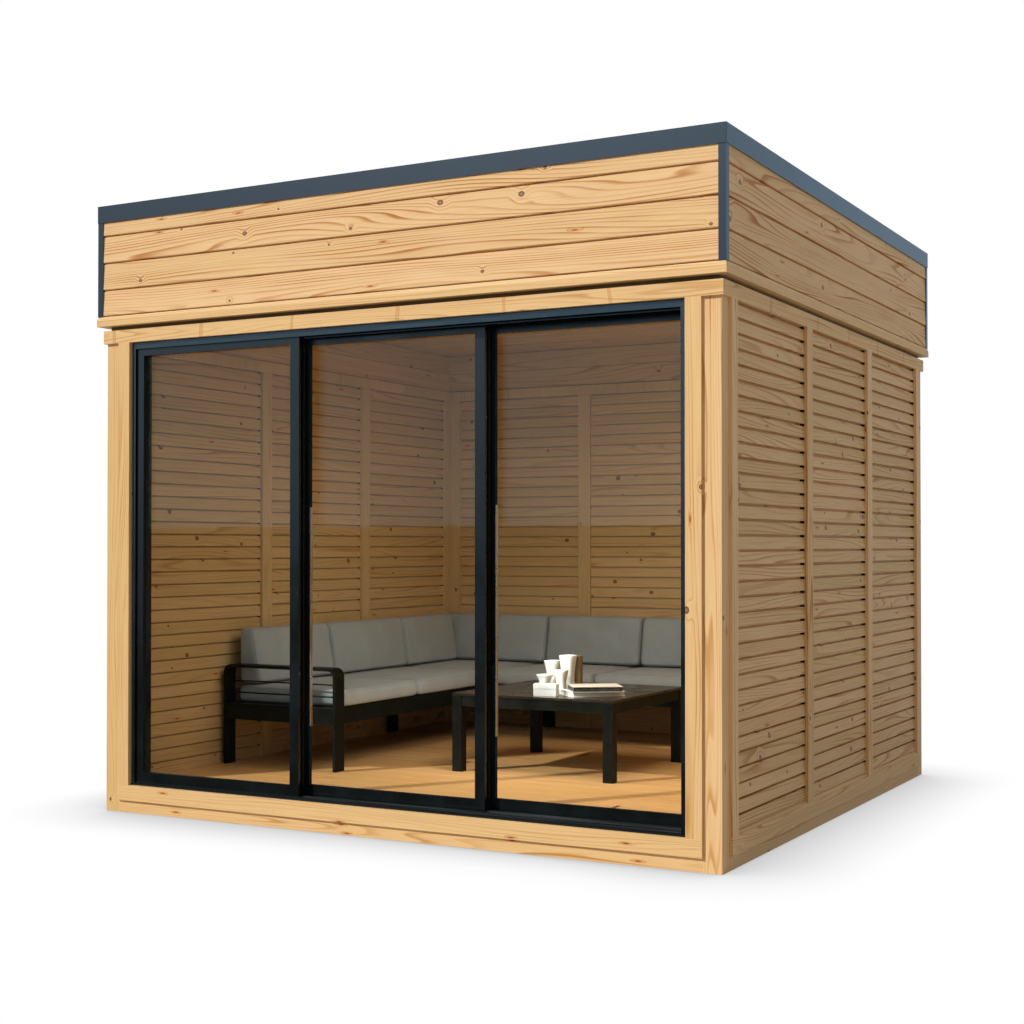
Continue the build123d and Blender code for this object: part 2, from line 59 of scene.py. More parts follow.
# ---- light and camera ----
CAMERA_PLACE = (3.8445, -7.4028, 1.2903)
CAMERA_TURN = 0.49899
CAMERA_TILT = 0.01295
CAMERA_LENS = 55.447
CAMERA_SENSOR = 36.0
CAMERA_SHIFT = 0.01344
SUN_FROM = math.radians(235)
SUN_HEIGHT = math.radians(35)
SUN_STRENGTH = 2.75
SUN_SIZE = math.radians(2.5)
SUN_COLOUR = (1.0, 0.985, 0.96)
SKY_COLOUR = (0.97, 0.985, 1.0, 1.0)
AMBIENT = 0.285
SHADOW_DEPTH = 0.78
SHADOW_REACH = 0.55
ROOM_FILL = 2.7
FLOOR_FILL = 19.5
TABLE_FILL = 4.5
WHITE = (1.0, 1.0, 1.0, 1.0)


def srgb(*values):
    """Linear colour from the three 0-255 values seen on a screen."""
    shares = [value / 255 for value in values]
    return (*(c / 12.92 if c <= 0.04045 else ((c + 0.055) / 1.055) ** 2.4 for c in shares), 1.0)


def dimmed(colour, share):
    """The colour at a share of its brightness."""
    return (*(channel * share for channel in colour[:3]), 1.0)


PINE_LIGHT = srgb(243, 201, 142)
PINE_DARK = srgb(200, 140, 68)
KNOT = srgb(104, 62, 34)
KNOT_HEART = srgb(186, 128, 86)
KNOT_HALO = srgb(216, 136, 62)


# ---- node trees ----
class Graph:
    """Builds the nodes of a material or of the world."""

    def __init__(self, name, library="materials", output="ShaderNodeOutputMaterial"):
        self.owner = getattr(bpy.data, library).new(name)
        self.owner.use_nodes = True
        self.tree = self.owner.node_tree
        self.tree.nodes.clear()
        self.output = self.tree.nodes.new(output)

    def feed(self, socket, value):
        """Link a socket, or set its value."""
        if isinstance(value, bpy.types.NodeSocket):
            self.tree.links.new(value, socket)
        else:
            socket.default_value = value

    def add(self, kind, inputs=None, **settings):
        """Adds a node and returns its outputs."""
        node = self.tree.nodes.new(kind)
        for key, value in settings.items():
            setattr(node, key, value)
        for key, value in (inputs or {}).items():
            self.feed(node.inputs[key], value)
        return node.outputs

    def math(self, operation, a, b=0.0, c=0.0):
        return self.add("ShaderNodeMath", {0: a, 1: b, 2: c}, operation=operation)[0]

    def vector_math(self, operation, a, b=(0.0, 0.0, 0.0)):
        found = self.add("ShaderNodeVectorMath", {0: a, 1: b}, operation=operation)
        return found["Value" if operation == "LENGTH" else "Vector"]

    def times(self, a, b):
        return self.math("MULTIPLY", a, b)

    def times_plus(self, a, b, c):
        return self.math("MULTIPLY_ADD", a, b, c)

    def scaled(self, vector, factors):
        return self.vector_math("MULTIPLY", vector, factors)

    def split(self, vector):
        return self.add("ShaderNodeSeparateXYZ", {0: vector})

    def join(self, x, y, z):
        return self.add("ShaderNodeCombineXYZ", {0: x, 1: y, 2: z})[0]

    def noise(self, vector, scale=1.0, detail=0.0, roughness=0.5, distortion=0.0):
        inputs = {"Vector": vector, "Scale": scale, "Detail": detail, "Roughness": roughness,
                  "Distortion": distortion}
        return self.add("ShaderNodeTexNoise", inputs)[0]

    def mix(self, share, a, b, blend="MIX"):
        inputs = {"Factor": share, 6: a, 7: b}
        return self.add("ShaderNodeMix", inputs, data_type="RGBA", blend_type=blend, clamp_factor=True)[2]

    def mix_shaders(self, share, a, b):
        return self.add("ShaderNodeMixShader", {0: share, 1: a, 2: b})[0]

    def ramp(self, value, low, high, to_low=0.0, to_high=1.0, smooth=True):
        kind = "SMOOTHSTEP" if smooth else "LINEAR"
        inputs = dict(enumerate((value, low, high, to_low, to_high)))
        return self.add("ShaderNodeMapRange", inputs, interpolation_type=kind)[0]

    def attribute(self, name, output="Vector"):
        return self.add("ShaderNodeAttribute", attribute_name=name)[output]

    def position(self):
        """The place in the object's own frame, which is the building's at rest."""
        return self.add("ShaderNodeTexCoord")["Object"]

    def seen_rays(self):
        """1 for camera, glossy and transmission rays."""
        path = self.add("ShaderNodeLightPath")
        either = self.math("MAXIMUM", path["Is Camera Ray"], path["Is Glossy Ray"])
        return self.math("MAXIMUM", either, path["Is Transmission Ray"])

    def bump(self, height, strength, distance):
        inputs = {"Height": height, "Strength": strength, "Distance": distance}
        return self.add("ShaderNodeBump", inputs)[0]

    def finish(self, shader):
        self.feed(self.output.inputs["Surface"], shader)
        return self.owner

    def principled(self, **inputs):
        """The material, finished with this shader."""
        named = {key.replace("_", " "): value for key, value in inputs.items()}
        return self.finish(self.add("ShaderNodeBsdfPrincipled", named)[0])


# ---- wood ----
# Knots are strewn at most one to a cell. The cells are per metre along and across the grain.
KNOT_CELLS = (2.1, 8.5)
KNOT_STRETCH = 0.8
KNOT_RADII = (0.005, 0.012)
LONG_KNOT_SHAPE = (30.0, 120.0, 0.0)
RINGS_PER_METRE = 62.0
RING_BEND = 17.0
# Noise is stretched along the grain by these scales (along, across, depth).
BEND_SCALE = (0.5, 7.0, 7.0)
PATCH_SCALE = (1.6, 11.0, 11.0)
FIBRE_SCALE = (5.0, 260.0, 260.0)
SIDE_SHIFT = 7.3


def grain_attribute(graph):
    """The grain and tint that each board of a Boards mesh carries."""
    return graph.attribute("grain"), graph.attribute("tint", "Fac")


def grain_upright(graph):
    """Grain along Z, for posts and stiles."""
    x, y, z = graph.split(graph.position())
    across = graph.math("ADD", x, y)
    depth = graph.math("SUBTRACT", x, y)
    return graph.join(z, across, depth), member_tint(graph, graph.join(x, y, 0.0))


def grain_ring(graph):
    """Grain along each side of the building, for rails and beams."""
    x, y, z = graph.split(graph.position())
    out_x = graph.math("SUBTRACT", graph.math("ABSOLUTE", x), HALF_W)
    out_y = graph.math("SUBTRACT", graph.math("ABSOLUTE", y), HALF_D)
    front = graph.math("GREATER_THAN", out_y, out_x)
    along = graph.ramp(front, 0.0, 1.0, y, x, smooth=False)
    inward = graph.ramp(front, 0.0, 1.0, x, y, smooth=False)
    across = graph.math("ADD", z, inward)
    depth = graph.math("SUBTRACT", z, inward)
    shifted = graph.math("ADD", along, graph.times(front, SIDE_SHIFT))
    return graph.join(shifted, across, depth), member_tint(graph, graph.join(front, inward, 0.0))


def grain_along_x(graph):
    """Grain along X, for joists and decks."""
    x, y, z = graph.split(graph.position())
    return graph.join(x, graph.math("ADD", y, z), z), member_tint(graph, graph.join(0.0, y, 0.0))


def member_tint(graph, place):
    """A slow change of tint from member to member."""
    return graph.ramp(graph.noise(place, 2.1), 0.3, 0.7, -1.0, 1.0)


def knot_masks(graph, along, across, knots, smears):
    """A round knot's core, outline and halo, and a long knot's smear and eye. `knots` and `smears` are
    the shares of the cells that hold each kind."""
    flat = graph.join(graph.times(along, KNOT_CELLS[0]), graph.times(across, KNOT_CELLS[1]), 0.0)
    cell = graph.add("ShaderNodeTexVoronoi", {"Vector": flat, "Scale": 1.0}, voronoi_dimensions="2D")
    offset = graph.vector_math("SUBTRACT", flat, cell["Position"])
    to_metres = (KNOT_STRETCH / KNOT_CELLS[0], 1 / KNOT_CELLS[1], 0.0)
    metres = graph.scaled(offset, to_metres)
    chance, size, _ = graph.split(cell["Color"])

    is_round = graph.math("LESS_THAN", chance, knots)
    radius = graph.ramp(size, 0.0, 1.0, *KNOT_RADII)
    relative = graph.math("DIVIDE", graph.vector_math("LENGTH", metres), radius)
    core = graph.times(graph.ramp(relative, 1.1, 0.9, 0.0, 1.0), is_round)
    outline = graph.times(graph.ramp(relative, 0.1, 0.75, 0.35, 1.0), core)
    halo = graph.times(graph.ramp(relative, 4.6, 0.7, 0.0, 1.0), is_round)

    is_long = graph.math("GREATER_THAN", chance, 1.0 - smears)
    slender = graph.vector_math("LENGTH", graph.scaled(metres, LONG_KNOT_SHAPE))
    smear = graph.times(graph.ramp(slender, 1.15, 0.55, 0.0, 1.0), is_long)
    eye = graph.times(graph.ramp(slender, 0.42, 0.26, 0.0, 0.85), is_long)
    return core, outline, halo, smear, eye


def ring_lines(graph, grain, phase, line):
    """The dark lines of the growth rings, some bolder than others and each fading in places. The phase
    grows by one from ring to ring."""
    ring = graph.math("FRACT", phase)
    number = graph.math("FLOOR", phase)
    chance = graph.add("ShaderNodeTexWhiteNoise", {"W": number}, noise_dimensions="1D")[0]
    bold = graph.times_plus(chance, 0.75, 0.25)
    thin = graph.times(graph.ramp(ring, 0.55, 0.86), graph.ramp(ring, 0.9, 1.0, 1.0, 0.0))
    soft = graph.times(ring, graph.ramp(ring, 0.85, 1.0, 1.0, 0.0))
    lines = graph.times_plus(soft, 0.25, graph.times(thin, 0.75))
    patches = graph.noise(graph.scaled(grain, PATCH_SCALE), detail=1.0)
    fading = graph.ramp(patches, 0.32, 0.66, 0.35, 1.0)
    strength = graph.times(graph.times(lines, bold), fading)
    return graph.times(strength, line)


def with_spikes(graph, colour, grain, along, apart):
    """The colour with branches cut lengthwise, which cross a narrow member from edge to edge."""
    place = graph.times_plus(graph.noise(grain, 0.7), 0.6, graph.math("DIVIDE", along, apart))
    reach = graph.math("ABSOLUTE", graph.math("SUBTRACT", graph.math("FRACT", place), 0.5))
    half = graph.times_plus(graph.noise(grain, 9.0), 0.012 / apart, 0.002 / apart)
    inside = graph.math("DIVIDE", reach, half)
    colour = graph.mix(graph.ramp(inside, 1.0, 0.8, 0.0, 0.45), colour, KNOT_HALO)
    edge = graph.times(graph.ramp(inside, 0.65, 0.9), graph.ramp(inside, 1.15, 0.95, 0.0, 1.0))
    return graph.mix(graph.times(edge, 0.28), colour, KNOT)


def wood(name, coordinates, light=PINE_LIGHT, dark=PINE_DARK, line=1.0, knots=0.3, smears=0.12,
         spikes_apart=0.0, roughness=0.55, spread=0.08):
    """Softwood: thin growth-ring lines that run along the grain and flow round small knots."""
    graph = Graph(name)
    grain, tint = coordinates(graph)
    along, across, _ = graph.split(grain)
    core, outline, halo, smear, eye = knot_masks(graph, along, across, knots, smears)

    stretched = graph.scaled(grain, BEND_SCALE)
    warp = graph.noise(stretched, detail=1.0, roughness=0.3, distortion=0.2)
    bend = graph.times_plus(halo, 1.2, graph.times(smear, 0.9))
    steady = graph.times_plus(across, RINGS_PER_METRE, bend)
    phase = graph.times_plus(warp, RING_BEND, steady)
    lines = ring_lines(graph, grain, phase, line)
    fibres = graph.noise(graph.scaled(grain, FIBRE_SCALE), detail=2.0)
    streak = graph.ramp(fibres, 0.35, 0.75, 0.0, 0.2)

    colour = graph.mix(graph.math("ADD", lines, streak), light, dark)
    colour = graph.mix(graph.times(smear, 0.6), colour, KNOT_HALO)
    colour = graph.mix(eye, colour, KNOT)
    if spikes_apart:
        colour = with_spikes(graph, colour, grain, along, spikes_apart)
    colour = graph.mix(graph.times(core, 0.8), colour, KNOT_HEART)
    colour = graph.mix(graph.times(outline, 0.9), colour, KNOT)
    level = graph.times_plus(tint, spread, 1.0)
    member = graph.join(level, level, graph.times(level, level))
    colour = graph.mix(1.0, colour, member, "MULTIPLY")
    rough = graph.times_plus(lines, 0.12, roughness)
    dips = graph.math("ADD", lines, outline)
    relief = graph.math("SUBTRACT", graph.times(fibres, 0.6), dips)
    normal = graph.bump(relief, 0.2, 0.0010)
    return graph.principled(Base_Color=colour, Roughness=rough, Normal=normal, IOR=1.4)


def plain(name, colour, roughness, mottle=0.1, scale=30.0, metallic=0.0, tint=None, spread=0.08, bump=0.05,
          ior=1.5, coat=0.0):
    """A painted, printed or sheet surface with slight changes of tone and roughness."""
    graph = Graph(name)
    cloud = graph.noise(graph.position(), scale, 3.0)
    fine = graph.noise(graph.position(), scale * 14, 2.0)
    darker = dimmed(colour, 1 - mottle)
    shade = graph.mix(graph.ramp(cloud, 0.35, 0.65), darker, colour)
    rough = graph.ramp(cloud, 0.3, 0.7, roughness - spread, roughness + spread)
    normal = graph.bump(fine, bump, 0.0006)
    inputs = {"Base_Color": shade, "Roughness": rough, "Normal": normal, "Metallic": metallic, "IOR": ior}
    if tint:
        inputs["Specular_Tint"] = tint
    if coat:
        inputs["Coat_Weight"] = coat
        inputs["Coat_Roughness"] = roughness
    return graph.principled(**inputs)


GLASS_CLEAR = (0.958, 0.968, 0.962, 1.0)
GLASS_MIRROR = (0.38, 0.70, 0.84, 1.0)
GLASS_LEAST_MIRROR = 0.024


def glass(name):
    """A clear pane: straight through, with a faint cool reflection that grows at flat angles."""
    graph = Graph(name)
    through = graph.add("ShaderNodeBsdfTransparent", {"Color": GLASS_CLEAR})[0]
    mirror = graph.add("ShaderNodeBsdfGlossy", {"Color": GLASS_MIRROR, "Roughness": 0.03})[0]
    facing = graph.add("ShaderNodeLayerWeight", {"Blend": 0.5})["Facing"]
    share = graph.math("ADD", graph.math("POWER", facing, 5.0), GLASS_LEAST_MIRROR)
    return graph.finish(graph.mix_shaders(share, through, mirror))


THREADS = 2400.0
SEAM_INNER = 0.0004
SEAM_OUTER = 0.0022


def fabric(name, colour):
    """A fine plain weave with soft mottling, and a seam groove where the attribute "seam" is zero, darkened
    there as painted shade.
    """
    graph = Graph(name)
    place = graph.position()
    threads = [graph.math("SINE", graph.times_plus(along, THREADS, turn))
               for along, turn in zip(graph.split(place), (0.0, 0.5, 0.25))]
    weave = graph.math("ADD", graph.times(threads[0], threads[2]), threads[1])
    cloud = graph.noise(place, 7.0, 3.0)
    fleck = graph.noise(place, 420.0, 1.0)
    from_seam = graph.math("ABSOLUTE", graph.attribute("seam", "Fac"))
    seam = graph.ramp(from_seam, SEAM_INNER, SEAM_OUTER, 1.0, 0.0)
    dark = dimmed(colour, 0.9)
    shade = graph.mix(graph.ramp(cloud, 0.35, 0.68), dark, colour)
    shade = graph.mix(graph.ramp(fleck, 0.4, 0.8, 0.0, 0.25), shade, dark)
    # Darker along the seam: painted shade of the seam's crease, besides the groove of the bump.
    shade = graph.mix(graph.times(seam, 0.5), shade, dimmed(colour, 0.45))
    height = graph.math("ADD", weave, graph.times(fleck, 2.0))
    normal = graph.bump(graph.times_plus(seam, -4.0, height), 0.25, 0.0006)
    return graph.principled(Base_Color=shade, Roughness=0.92, Normal=normal, Sheen_Weight=0.25,
                            Sheen_Roughness=0.5)


def paint_slots(names, material):
    """Puts the material on CAD nodes."""
    for name in names:
        for slot in nodes[name].material_slots:
            slot.material = material


# ---- meshes ----
def face_outwards(mesh):
    work = bmesh.new()
    work.from_mesh(mesh)
    bmesh.ops.recalc_face_normals(work, faces=work.faces)
    work.to_mesh(mesh)
    work.free()


def add_object(name, data):
    added = bpy.data.objects.new(name, data)
    bpy.context.scene.collection.objects.link(added)
    return added


def new_piece(name, mesh, materials, body="root"):
    """A new object that rides on a body."""
    for material in materials:
        mesh.materials.append(material)
    piece = add_object(name, mesh)
    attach(piece, body)
    return piece


def bevelled_piece(name, work, materials, width):
    """A new object from a finished bmesh, its edges rounded off."""
    mesh = bpy.data.meshes.new(name)
    work.to_mesh(mesh)
    work.free()
    piece = new_piece(name, mesh, materials)
    bevel = piece.modifiers.new("bevel", "BEVEL")
    bevel.width = width
    bevel.segments = 2
    return piece


GRAIN_SHIFT = 40


class Boards:
    """A mesh of straight boards that carry their own grain and tint."""

    def __init__(self, name, seed):
        self.name = name
        self.random = random.Random(seed)
        self.verts, self.faces, self.index = [], [], []
        self.grain, self.tint = [], []

    def add(self, section, start, end, place, material=0):
        """One board: a section of (out, up) points from start to end along its length."""
        base = len(self.verts)
        shift = Vector([self.random.uniform(-GRAIN_SHIFT, GRAIN_SHIFT) for _ in range(3)])
        tint = self.random.uniform(-1, 1)
        for along in (start, end):
            for out, up in section:
                self.verts.append(place(along, out, up))
                self.grain.append(Vector((along, up, out)) + shift)
                self.tint.append(tint)
        count = len(section)
        for i in range(count):
            j = (i + 1) % count
            self.faces.append((base + i, base + j, base + count + j, base + count + i))
        self.faces.append(tuple(reversed(range(base, base + count))))
        self.faces.append(tuple(range(base + count, base + 2 * count)))
        self.index += [material] * (count + 2)

    def build(self, materials):
        mesh = bpy.data.meshes.new(self.name)
        mesh.from_pydata(self.verts, [], self.faces)
        mesh.polygons.foreach_set("material_index", self.index)
        grain = mesh.attributes.new("grain", "FLOAT_VECTOR", "POINT")
        grain.data.foreach_set("vector", [value for point in self.grain for value in point])
        tint = mesh.attributes.new("tint", "FLOAT", "POINT")
        tint.data.foreach_set("value", self.tint)
        face_outwards(mesh)
        return new_piece(self.name, mesh, materials)


# ---- walls ----
# A lapped board's section is given by how far its parts stand out from the wall's face.
WALL_EXPOSURE = 0.0625
LAP_TILT = 0.007
LAP_EASE = 0.0015
OUTER_LAP = {"face": 0.001, "back": -0.031, "groove_out": -0.020, "groove": 0.011, "notch": 0.0055}
INNER_LAP = {"face": 0.031, "back": 0.0, "groove_out": 0.012, "groove": 0.0060, "notch": 0.0020}
SILL_STRIP = 0.018
SILL_STRIP_OUT = 0.011
SILL_STRIP_TOP = -0.008
TINY_GAP = 0.0005


def side_place(box, side, towards=1):
    """Maps (along, out, up) on a side of a box to the building. With -1, out points into the box."""
    low, high = box
    places = {
        "right": lambda along, out, up: (high.x + towards * out, along, up),
        "left": lambda along, out, up: (low.x - towards * out, along, up),
        "back": lambda along, out, up: (along, high.y + towards * out, up),
        "front": lambda along, out, up: (along, low.y - towards * out, up),
    }
    return places[side]


def spans(node, axis, keep=lambda co: True):
    """The (start, end) of each slab of a node along an axis."""
    levels = sorted({round(v.co[axis], 4) for v in nodes[node].data.vertices if keep(v.co)})
    return list(zip(levels[::2], levels[1::2]))


def lap_section(low, high, face, back, groove_out, groove):
    """A weatherboard: its face leans back towards the top, above it a dark groove."""
    face_top = high - groove
    return [
        (back, low), (face - LAP_EASE, low), (face, low + 0.002), (face - LAP_TILT, face_top - 0.001),
        (face - LAP_TILT - LAP_EASE, face_top), (groove_out, face_top), (groove_out, high), (back, high),
    ]


def rows(low, high, wide):
    """The pitch and the starts of equal rows about as wide as given."""
    count = round((high - low) / wide)
    pitch = (high - low) / count
    return pitch, [low + row * pitch for row in range(count)]


def lap_bay(boards, place, start, end, low, high, notch_end, face, back, groove_out, groove, notch):
    """A bay of lapped boards, with a dark box at one end of each groove, painted as the shade of the notch
    there.
    """
    pitch, starts = rows(low, high, WALL_EXPOSURE)
    lip = face - 0.002
    notch_span = (end - notch, end - 0.0003) if notch_end > 0 else (start + 0.0003, start + notch)
    for z in starts:
        top = z + pitch
        boards.add(lap_section(z, top, face, back, groove_out, groove), start, end, place)
        hole_low = top - groove
        hole_top = top - TINY_GAP
        painted_shade_box = [(groove_out, hole_low), (lip, hole_low), (lip, hole_top), (groove_out, hole_top)]
        # The dark box fills the notch at the groove's end: painted shade of the deep gap there.
        boards.add(painted_shade_box, *notch_span, place, 1)


def outer_walls(materials):
    """Lapped boards between the outer stiles, over a sloped strip."""
    back = OUTER_LAP["back"]
    for seed, side in enumerate(("left", "right", "back"), start=11):
        node = f"{side}_wall_boards"
        axis = 0 if side == "back" else 1
        place = side_place(posts, side)
        boards = Boards(f"{side}_wall_lapped_boards", seed)
        low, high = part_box(node)
        bottom = low.z + SILL_STRIP
        strip = [(back, low.z), (SILL_STRIP_OUT, low.z), (SILL_STRIP_OUT, low.z + 0.003),
                 (SILL_STRIP_TOP, bottom - TINY_GAP), (back, bottom - TINY_GAP)]
        notch_end = -1 if side == "back" else 1
        for start, end in spans(node, axis):
            lap_bay(boards, place, start, end, bottom, high.z, notch_end, **OUTER_LAP)
            boards.add(strip, start, end, place)
        piece = boards.build(materials)
        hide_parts(node)


def inner_walls(materials):
    """Room-side boards between the lining's stiles. They run down to the floor."""
    low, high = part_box("lining_boards")
    boards = Boards("lining_lapped_boards", 31)
    slab_in = INNER_LAP["face"] + 0.001
    wall_x = high.x - slab_in
    wall_y = high.y - slab_in
    side_end = high.y - 0.05
    walls = {
        "left": (1, lambda co: co.x < -wall_x and co.y < side_end),
        "right": (1, lambda co: co.x > wall_x and co.y < side_end),
        "back": (0, lambda co: co.y > wall_y and abs(co.x) < wall_x - 0.01),
    }
    for side, (axis, keep) in walls.items():
        notch_end = -1 if side == "right" else 1
        place = side_place((low, high), side, -1)
        for start, end in spans("lining_boards", axis, keep):
            lap_bay(boards, place, start, end, low.z, high.z, notch_end, **INNER_LAP)
    piece = boards.build(materials)
    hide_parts("lining_boards")


PARAPET_EXPOSURE = 0.1326
PARAPET_BOARD = 0.019
PARAPET_KERB = 0.060
PARAPET_TRIM = 0.0004


def parapet_section(out, low, top, lift, cut):
    """A parapet board: a tongue at the top, behind the next board's lip. Its top is cut off at `cut`, and
    its foot is lifted by `lift`."""
    back = out - PARAPET_BOARD
    behind_lip = out - 0.0165
    foot = low + lift
    return [
        (back, low + 0.008), (behind_lip, low + 0.008), (behind_lip, foot), (out - 0.0025, foot),
        (out, foot + 0.003), (out - 0.005, top - 0.010), (out - 0.009, top - 0.006),
        (out - 0.0163, top - 0.005), (out - 0.017, cut), (back, cut),
    ]


def parapet(materials, core_material):
    """The boarded faces of the parapet and the kerb behind them."""
    out = parapet_high.x - HALF_W
    kerb_back = out - PARAPET_KERB
    kerb_face = out - PARAPET_BOARD
    low, high = parapet_low.z, parapet_high.z
    boards = Boards("parapet_boards", 51)
    core = Boards("parapet_core", 52)
    for side in ("front", "back", "left", "right"):
        place = side_place(posts, side)
        long_side = side in ("front", "back")
        half = (HALF_W if long_side else HALF_D) + out - PARAPET_TRIM
        board_end = half if long_side else half - PARAPET_BOARD
        core_end = half - (PARAPET_BOARD if long_side else PARAPET_KERB)
        section = [(kerb_back, low), (kerb_face, low), (kerb_face, high), (kerb_back, high)]
        core.add(section, -core_end, core_end, place)
        z = low
        while z < cap_low.z:
            top = z + PARAPET_EXPOSURE
            lift = 0.005 if z == low else 0.0
            section = parapet_section(out, z, top, lift, min(top + 0.007, high))
            boards.add(section, -board_end, board_end, place)
            z = top
    piece = boards.build(materials)
    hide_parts("parapet_walls")
    backing = core.build([core_material])


# ---- floor, top of the room and ceiling ----
FLOOR_BOARD = 0.14
FLOOR_SEAM = 0.0012
FLOOR_VEE = 0.002
ROOM_BOARD = 0.02
ROOM_ROWS = 2
ROOM_GAP = 0.001
CEILING_BOARD = 0.15
CEILING_VEE = 0.003


def as_is(along, out, up):
    return (along, out, up)


def floor_boards(material):
    """Floor boards along X, each in two lengths, with open V joints."""
    low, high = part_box("floor_deck")
    pitch, starts = rows(low.y, high.y, FLOOR_BOARD)
    shoulder = high.z - FLOOR_VEE
    boards = Boards("floor_planks", 61)
    rng = random.Random(62)
    for edge in starts:
        y0 = edge + FLOOR_SEAM / 2
        y1 = y0 + pitch - FLOOR_SEAM
        section = [(y0, low.z), (y1, low.z), (y1, shoulder), (y1 - FLOOR_VEE, high.z),
                   (y0 + FLOOR_VEE, high.z), (y0, shoulder)]
        joint = rng.uniform(low.x + 0.6, high.x - 0.6)
        boards.add(section, low.x, joint - FLOOR_SEAM / 2, as_is)
        boards.add(section, joint + FLOOR_SEAM / 2, high.x, as_is)
    piece = boards.build([material])
    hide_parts("floor_deck")


def room_box(material):
    """Wide boards round the top of the room."""
    low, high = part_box("roof_box_lining")
    boards = Boards("upper_lining_boards", 71)
    pitch = (high.z - low.z) / ROOM_ROWS
    ends_of = {side: (low.y + ROOM_BOARD, high.y - ROOM_BOARD) for side in ("left", "right")}
    ends_of["back"] = ends_of["front"] = (low.x, high.x)
    for side, (start, end) in ends_of.items():
        place = side_place((low, high), side, -1)
        for row in range(ROOM_ROWS):
            z0 = low.z + row * pitch
            z1 = z0 + pitch - ROOM_GAP
            section = [(0, z0), (ROOM_BOARD - 0.002, z0), (ROOM_BOARD, z0 + 0.002),
                       (ROOM_BOARD, z1 - 0.004), (ROOM_BOARD - 0.004, z1), (0, z1)]
            boards.add(section, start + ROOM_GAP, end - ROOM_GAP, place)
    piece = boards.build([material])
    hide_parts("roof_box_lining")


def ceiling(material):
    """Ceiling boards along X with V joints."""
    low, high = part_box("ceiling")
    pitch, starts = rows(low.y, high.y, CEILING_BOARD)
    shoulder = low.z + CEILING_VEE
    planks = Boards("ceiling_boards", 72)
    for y0 in starts:
        y1 = y0 + pitch - TINY_GAP
        section = [(y0, high.z), (y0, shoulder), (y0 + CEILING_VEE, low.z), (y1 - CEILING_VEE, low.z),
                   (y1, shoulder), (y1, high.z)]
        planks.add(section, low.x, high.x, as_is)
    piece = planks.build([material])
    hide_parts("ceiling")


# ---- solids of a CAD node ----
def islands(node):
    """The corner points of each separate solid of a CAD node, in order of the solids' low corners."""
    work = bmesh.new()
    work.from_mesh(nodes[node].data)
    bmesh.ops.remove_doubles(work, verts=work.verts, dist=0.00002)
    left = set(work.verts)
    groups = []
    while left:
        open_verts = [left.pop()]
        group = []
        while open_verts:
            vert = open_verts.pop()
            group.append(vert.co.copy())
            for edge in vert.link_edges:
                other = edge.other_vert(vert)
                if other in left:
                    left.remove(other)
                    open_verts.append(other)
        groups.append(group)
    work.free()
    return sorted(groups, key=lambda group: [round(value, 4) for value in extent(group)[0]])


def extent(points):
    """The low and the high corner."""
    return [Vector([pick(p[axis] for p in points) for axis in range(3)]) for pick in (min, max)]


# ---- cushions ----
VOXEL = 0.015
PAD_CROWN = 0.010
PAD_SIDE = 0.004
PAD_ROUND = 0.022
PAD_TUCK = 0.0015
PAD_GAP = 0.0012
BACK_LEAN = 0.053
SEAM_DROP = 0.020
SIM_FRAMES = 16


def padded_block(name, low, high, room_side, lean):
    """A rounded block inside a CAD solid, with room for its crown. Its room side leans back towards
    the top."""
    inset = Vector([PAD_CROWN if lean and room_side[axis] else PAD_SIDE for axis in range(3)])
    inner_low = low + Vector((inset.x, inset.y, PAD_GAP))
    inner_high = high - Vector((inset.x, inset.y, PAD_SIDE if lean else PAD_CROWN))
    size = inner_high - inner_low
    middle = (inner_low + inner_high) / 2
    work = bmesh.new()
    bmesh.ops.create_cube(work, size=1.0)
    for vert in work.verts:
        vert.co = Vector([vert.co[axis] * size[axis] + middle[axis] for axis in range(3)])
    bmesh.ops.bevel(work, geom=work.edges[:], offset=PAD_ROUND, segments=3, profile=0.5, affect="EDGES")
    if lean:
        for vert in work.verts:
            rise = (vert.co.z - low.z) / (high.z - low.z)
            towards = (vert.co - middle).dot(room_side) / abs(size.dot(room_side)) + 0.5
            vert.co -= room_side * lean * rise * towards
    mesh = bpy.data.meshes.new(name)
    work.to_mesh(mesh)
    work.free()
    return mesh


def remeshed(piece):
    """The piece's mesh as even small quads."""
    modifier = piece.modifiers.new("remesh", "REMESH")
    modifier.mode = "VOXEL"
    modifier.voxel_size = VOXEL
    graph = bpy.context.evaluated_depsgraph_get()
    mesh = bpy.data.meshes.new_from_object(piece.evaluated_get(graph))
    piece.modifiers.clear()
    piece.data = mesh


def inflate(pieces):
    """Blow all the pieces up at once as cloth, and return where their points went."""
    for piece in pieces:
        cloth = piece.modifiers.new("cloth", "CLOTH")
        settings = cloth.settings
        settings.use_pressure = True
        settings.uniform_pressure_force = 4.0
        settings.effector_weights.gravity = 0.0
        settings.quality = 4
        settings.tension_stiffness = settings.compression_stiffness = 20.0
        settings.shear_stiffness = 8.0
        settings.bending_stiffness = 1.5
        cloth.collision_settings.use_collision = False
        cloth.point_cache.frame_start = 1
        cloth.point_cache.frame_end = SIM_FRAMES
    scene = bpy.context.scene
    for number in range(1, SIM_FRAMES + 1):
        scene.frame_set(number)
    graph = bpy.context.evaluated_depsgraph_get()
    moved = []
    for piece in pieces:
        moved.append([vert.co.copy() for vert in piece.evaluated_get(graph).data.vertices])
        piece.modifiers.clear()
    scene.frame_set(1)
    return moved


